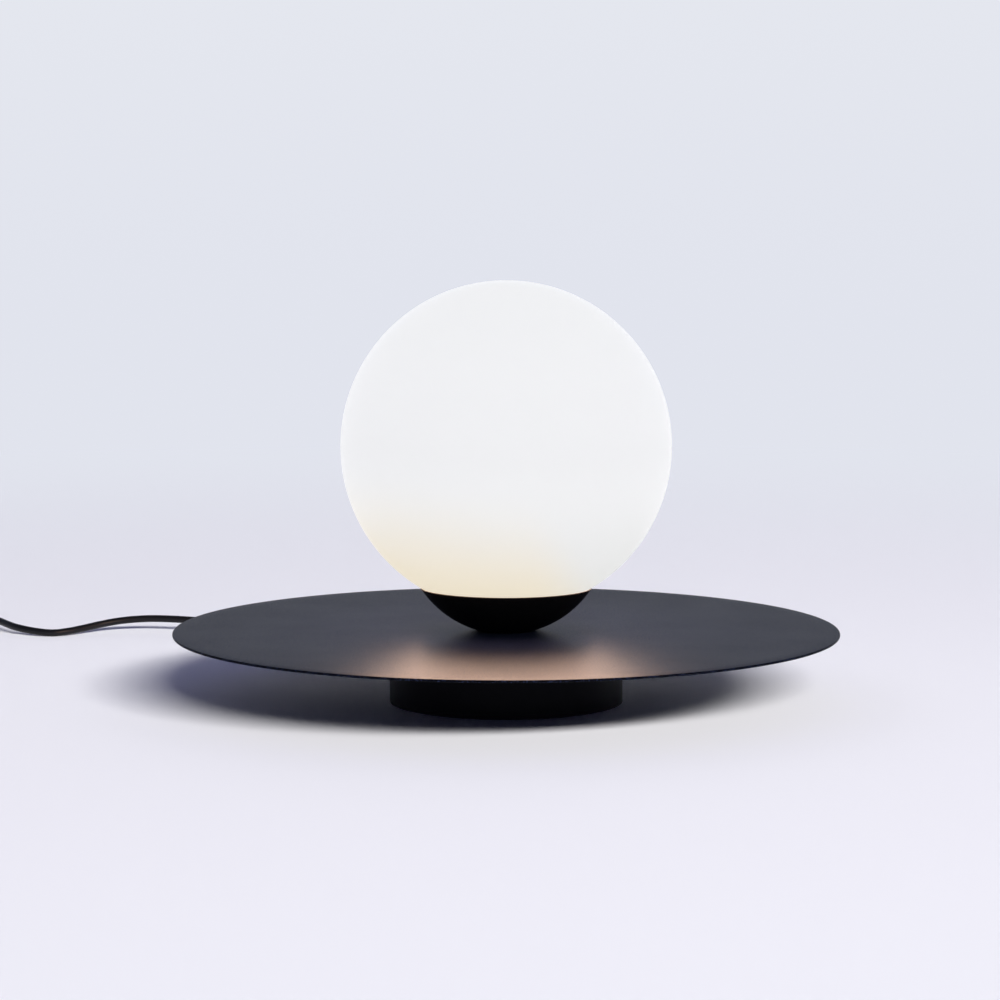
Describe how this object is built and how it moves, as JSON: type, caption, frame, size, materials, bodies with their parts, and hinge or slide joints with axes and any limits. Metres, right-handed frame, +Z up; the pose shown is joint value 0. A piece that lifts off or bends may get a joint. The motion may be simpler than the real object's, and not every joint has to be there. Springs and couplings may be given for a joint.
{
  "type": "ball table lamp",
  "caption": "Low table lamp: an opal glass globe in a small black cup, on a wide flat disc over a drum foot, with a round cord, an in-line rocker switch and a plug.",
  "frame": {"origin": "on the floor, at the middle of the round foot", "axes": "+Z up along the lamp's axis, -Y towards the viewer of the picture, the cord leaves at +Y"},
  "size_m": [0.7325, 0.5525, 0.2537],
  "materials": {
    "satin_black_paint": "satin, finely textured",
    "foot_paint": "gloss",
    "cup_paint": "satin",
    "opal_glass": "smooth opal, softly lit",
    "felt": "felt",
    "black_plastic": "matte",
    "iron": "as cast, painted",
    "zinc_steel": "zinc plated",
    "spring_steel": "bright",
    "silicone": "matte",
    "white_ceramic": "unglazed",
    "brass": "plain",
    "bulb_plastic": "gloss",
    "tin_wire": "tinned",
    "light_board": "lit",
    "frosted_plastic": "frosted, lit",
    "black_rubber": "matte",
    "cord_sheath": "smooth, half matte",
    "white_nylon": "matte",
    "brown_insulation": "matte",
    "blue_insulation": "matte",
    "switch_plastic": "fine matte",
    "rocker_plastic": "half gloss",
    "tie_plastic": "matte",
    "nickel_brass": "nickel plated"
  },
  "bodies": {
    "lamp_base": {"disc_plate": "satin_black_paint", "foot_shell": "foot_paint", "globe_cup": "cup_paint", "foot_pad": "felt", "bottom_cover": "black_plastic", "ballast_weight": "iron", "cover_screws": "zinc_steel", "cover_posts": "zinc_steel", "threaded_tube": "zinc_steel", "lower_nut": "zinc_steel", "lower_washer": "zinc_steel", "upper_nut": "zinc_steel", "holder_strap": "zinc_steel", "holder_screws": "zinc_steel", "clamp_screws": "zinc_steel", "terminal_screws": "zinc_steel", "switch_screws": "zinc_steel", "rocker_pin": "zinc_steel", "spring_collar": "spring_steel", "globe_gasket": "silicone", "lampholder": "white_ceramic", "holder_contacts": "brass", "terminal_tubes": "brass", "switch_terminals": "brass", "contact_strip": "brass", "strain_relief": "black_rubber", "switch_sleeves": "black_rubber", "cord_tail": "cord_sheath", "cord_lamp_side": "cord_sheath", "cord_plug_side": "cord_sheath", "cord_coil": "cord_sheath", "cord_clamp": "white_nylon", "terminal_block": "white_nylon", "live_core": "brown_insulation", "live_lead": "brown_insulation", "neutral_core": "blue_insulation", "neutral_lead": "blue_insulation", "switch_cores": "blue_insulation", "switch_base": "switch_plastic", "switch_cover": "switch_plastic", "plug_body": "switch_plastic", "coil_tie": "tie_plastic", "plug_pins": "nickel_brass"},
    "bulb": {"bulb_base": "bulb_plastic", "bulb_pins": "tin_wire", "bulb_board": "light_board", "bulb_cover": "frosted_plastic"},
    "globe": {"opal_globe": "opal_glass"},
    "rocker": {"switch_rocker": "rocker_plastic"}
  },
  "joints": [
    {"name": "globe_lift", "type": "slide", "parent": "lamp_base", "child": "globe", "axis": [0, 0, 1], "range_m": [0, 0.12]},
    {"name": "bulb_pull", "type": "slide", "parent": "lamp_base", "child": "bulb", "axis": [0, 0, 1], "range_m": [0, 0.018]},
    {"name": "switch_rock", "type": "hinge", "parent": "lamp_base", "child": "rocker", "pos_m": [-0.434, 0.34, 0.0125], "axis": [0, 1, 0], "range_deg": [-14, 0]}
  ]
}
